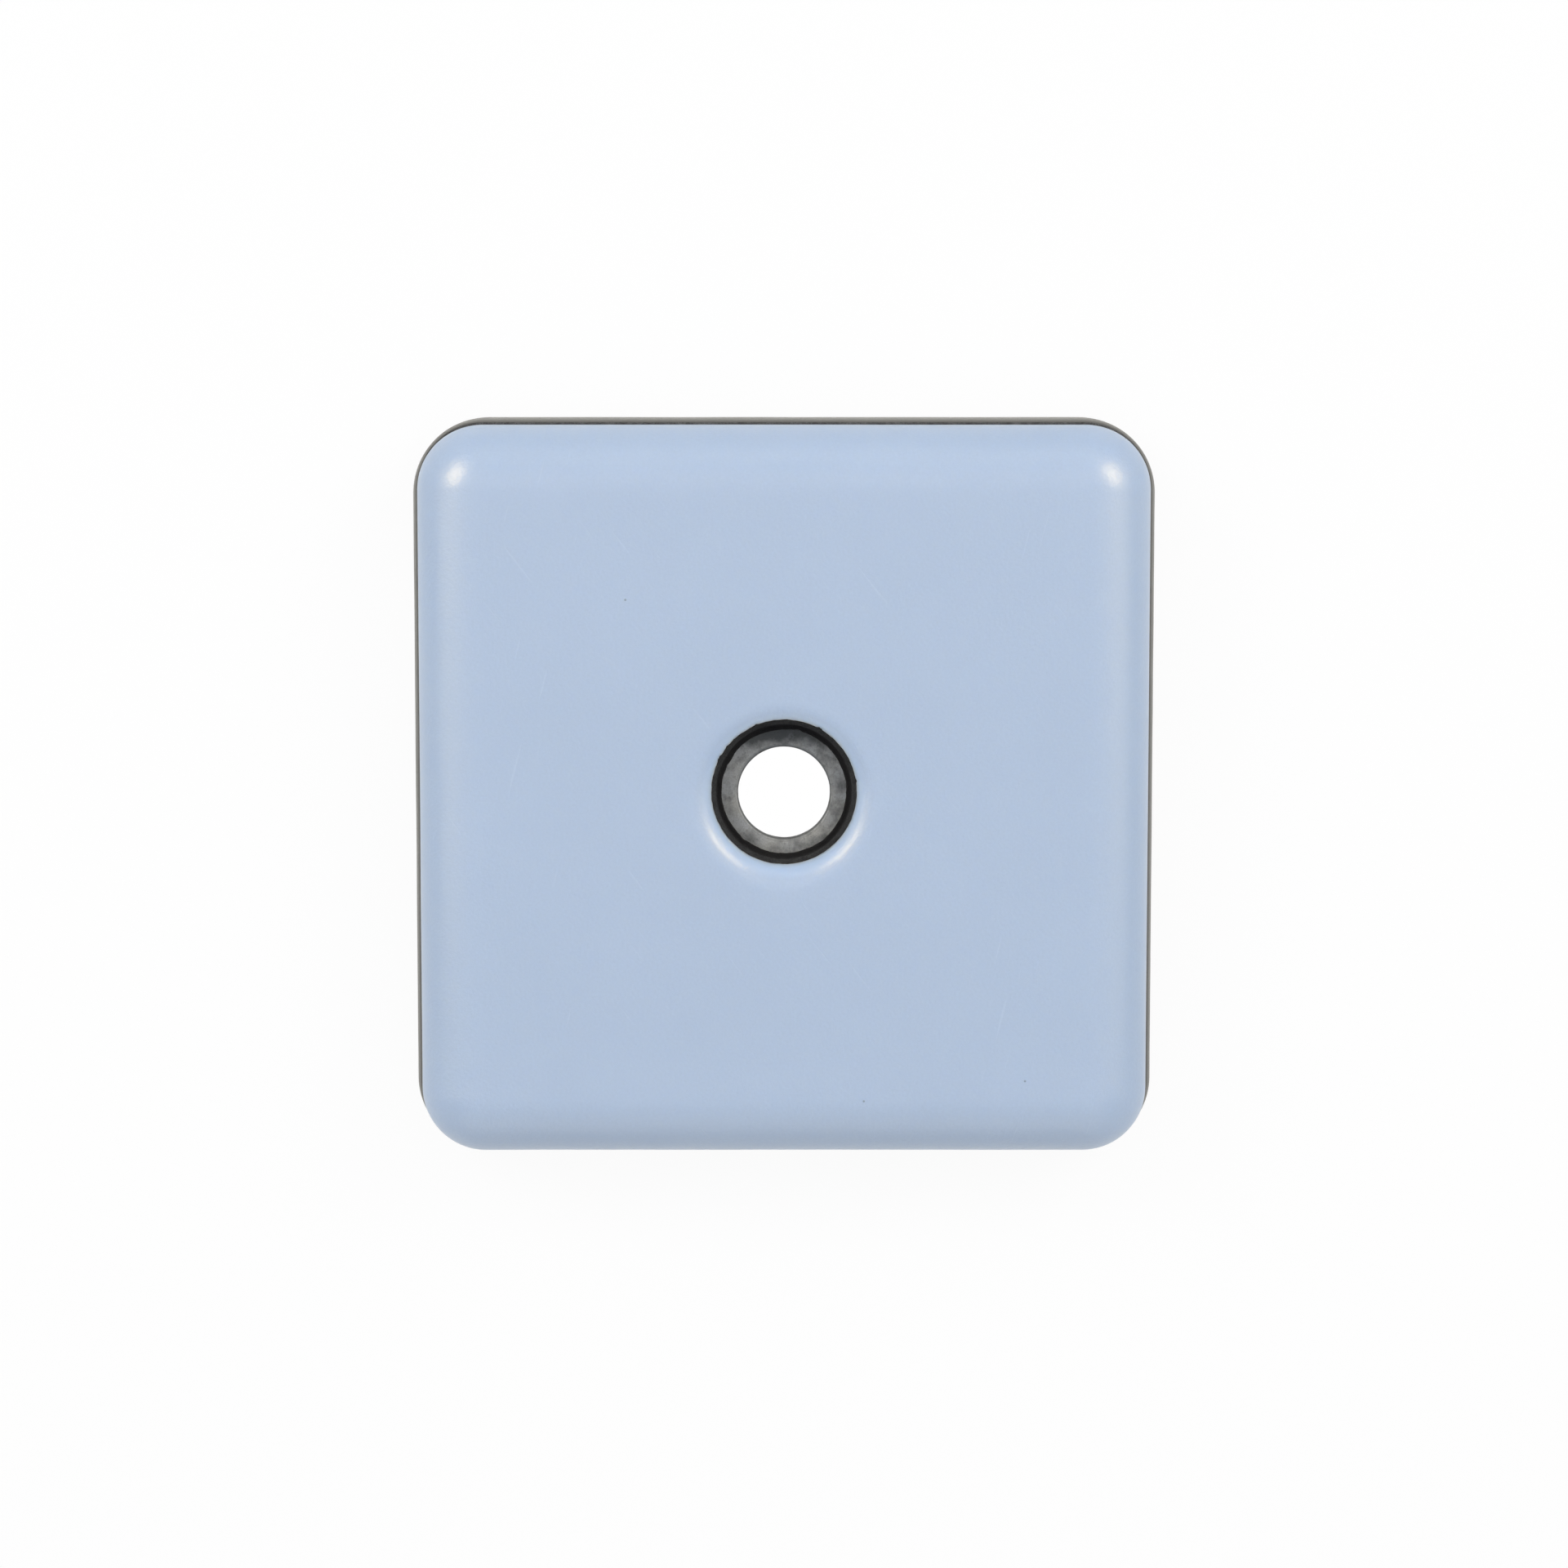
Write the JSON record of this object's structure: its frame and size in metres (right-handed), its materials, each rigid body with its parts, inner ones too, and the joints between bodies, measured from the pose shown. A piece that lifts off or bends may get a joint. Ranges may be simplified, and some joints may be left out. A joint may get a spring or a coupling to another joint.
{
  "type": "furniture slider",
  "caption": "Square screw-on furniture slider: slick rounded cap over a rubber core on a grey rubber base, with a steel washer in a central screw well.",
  "frame": {"origin": "centre of the rubber base's fixing face", "axes": "+Z out of the sliding face along the screw hole, +X and +Y along two sides of the square"},
  "size_m": [0.03, 0.03, 0.005],
  "materials": {
    "grey_rubber": "dull, fine grained, die cut",
    "black_rubber": "dull, with a rough punched edge in the screw well",
    "zinc_plated_steel": "dull mottled zinc plating",
    "slick_plastic": "PTFE sheet, waxy satin with soft highlights"
  },
  "bodies": {
    "root": {"rubber_base": "grey_rubber", "rubber_core": "black_rubber", "screw_washer": "zinc_plated_steel", "sliding_cap": "slick_plastic"}
  },
  "joints": []
}
